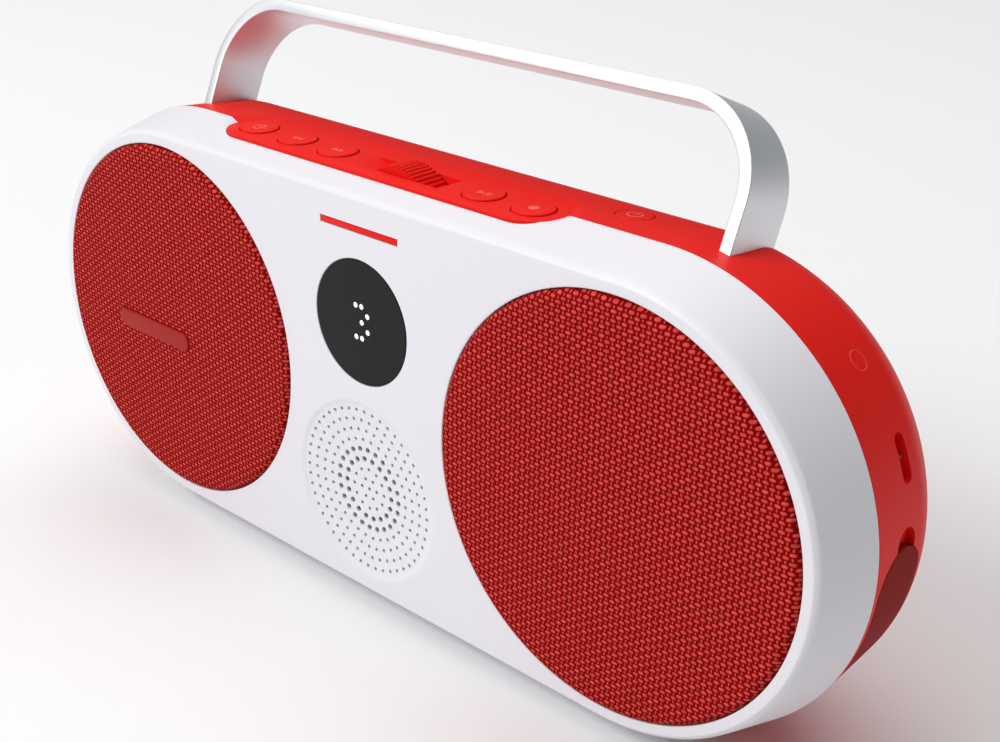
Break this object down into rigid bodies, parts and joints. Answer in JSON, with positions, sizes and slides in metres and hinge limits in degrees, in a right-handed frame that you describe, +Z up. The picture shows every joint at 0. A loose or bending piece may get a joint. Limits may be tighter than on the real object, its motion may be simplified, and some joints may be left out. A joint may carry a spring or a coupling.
{
  "type": "portable boombox",
  "caption": "Portable boombox with two woofers behind red fabric, a round display, a perforated centre grille, top buttons with a volume wheel, and a fixed flat strip handle.",
  "frame": {"origin": "bottom centre of the bounding box, on the surface the feet stand on", "axes": "+X to the right seen from the front, +Y from the front towards the back, +Z up"},
  "size_m": [0.36, 0.0874, 0.1919],
  "materials": {
    "white_plastic": "satin moulded plastic, very fine texture",
    "red_plastic": "satin moulded plastic, very fine texture",
    "red_fabric": "coarse basket weave acoustic cloth, stretched flat",
    "display_glass": "smoked window, low gloss",
    "light_diffuser": "milky light guide",
    "red_rubber": "soft rubber, matt",
    "black_rubber": "soft rubber, matt",
    "handle_aluminium": "satin bead-blasted aluminium",
    "steel": "plated steel",
    "ferrite": "sintered ferrite and iron, matt",
    "cone_paper": "coated paper",
    "black_plastic": "moulded plastic, matt",
    "circuit_board": "glass-filled board with solder mask",
    "battery_wrap": "cells in shrink wrap"
  },
  "bodies": {
    "housing": {"accent_strip": "red_plastic", "aux_jack": "black_plastic", "badge": "red_plastic", "battery_pack": "battery_wrap", "case_screw_1": "steel", "case_screw_2": "steel", "case_screw_3": "steel", "case_screw_4": "steel", "control_board": "circuit_board", "dial_encoder": "black_plastic", "display_board": "circuit_board", "display_lens": "display_glass", "fabric_cover_left": "red_fabric", "fabric_cover_right": "red_fabric", "favourite_switch": "steel", "foot_left": "black_rubber", "foot_right": "black_rubber", "front_housing": "white_plastic", "grille_frame_left": "black_plastic", "grille_frame_right": "black_plastic", "handle": "handle_aluminium", "handle_clamp_left": "steel", "handle_clamp_right": "steel", "handle_screw_left": "steel", "handle_screw_right": "steel", "housing_gasket": "black_rubber", "light_matrix": "light_diffuser", "main_board": "circuit_board", "mode_switch": "steel", "next_switch": "steel", "play_switch": "steel", "port_board": "circuit_board", "power_switch": "steel", "previous_switch": "steel", "rear_housing": "red_plastic", "strap_pin": "steel", "tweeter_frame": "black_plastic", "usb_c_socket": "steel", "woofer_basket_left": "black_plastic", "woofer_basket_right": "black_plastic", "woofer_magnet_left": "ferrite", "woofer_magnet_right": "ferrite", "woofer_surround_left": "black_rubber", "woofer_surround_right": "black_rubber"},
    "mode_button": {"mode_button": "red_plastic"},
    "previous_button": {"previous_button": "red_plastic"},
    "next_button": {"next_button": "red_plastic"},
    "play_button": {"play_button": "red_plastic"},
    "favourite_button": {"favourite_button": "red_plastic"},
    "power_button": {"power_button": "red_plastic"},
    "volume_dial": {"volume_dial": "red_plastic", "dial_axle": "steel"},
    "port_door": {"port_door": "red_rubber"},
    "woofer_cone_left": {"woofer_cone_left": "cone_paper", "dust_cap_left": "cone_paper"},
    "woofer_cone_right": {"woofer_cone_right": "cone_paper", "dust_cap_right": "cone_paper"},
    "tweeter_dome": {"tweeter_dome": "cone_paper"}
  },
  "joints": [
    {"name": "mode_press", "type": "slide", "parent": "housing", "child": "mode_button", "axis": [0, 0, -1], "range_m": [0, 0.0008], "stiffness_N_per_m": 1500, "springref_m": -0.0003},
    {"name": "previous_press", "type": "slide", "parent": "housing", "child": "previous_button", "axis": [0, 0, -1], "range_m": [0, 0.0008], "stiffness_N_per_m": 1500, "springref_m": -0.0003},
    {"name": "next_press", "type": "slide", "parent": "housing", "child": "next_button", "axis": [0, 0, -1], "range_m": [0, 0.0008], "stiffness_N_per_m": 1500, "springref_m": -0.0003},
    {"name": "play_press", "type": "slide", "parent": "housing", "child": "play_button", "axis": [0, 0, -1], "range_m": [0, 0.0008], "stiffness_N_per_m": 1500, "springref_m": -0.0003},
    {"name": "favourite_press", "type": "slide", "parent": "housing", "child": "favourite_button", "axis": [0, 0, -1], "range_m": [0, 0.0008], "stiffness_N_per_m": 1500, "springref_m": -0.0003},
    {"name": "power_press", "type": "slide", "parent": "housing", "child": "power_button", "axis": [0, 0, -1], "range_m": [0, 0.0008], "stiffness_N_per_m": 1500, "springref_m": -0.0003},
    {"name": "volume_turn", "type": "hinge", "parent": "housing", "child": "volume_dial", "pos_m": [0, -0.0193, 0.13885], "axis": [0, 1, 0], "continuous": true},
    {"name": "port_door_hinge", "type": "hinge", "parent": "housing", "child": "port_door", "pos_m": [0.16616, -0.0058, 0.03696], "axis": [0, 1, 0], "range_deg": [0, 95]},
    {"name": "cone_stroke_left", "type": "slide", "parent": "housing", "child": "woofer_cone_left", "axis": [0, -1, 0], "range_m": [-0.002, 0.002], "stiffness_N_per_m": 1500},
    {"name": "cone_stroke_right", "type": "slide", "parent": "housing", "child": "woofer_cone_right", "axis": [0, -1, 0], "range_m": [-0.002, 0.002], "stiffness_N_per_m": 1500},
    {"name": "tweeter_stroke", "type": "slide", "parent": "housing", "child": "tweeter_dome", "axis": [0, -1, 0], "range_m": [-0.0003, 0.0003], "stiffness_N_per_m": 4000}
  ]
}
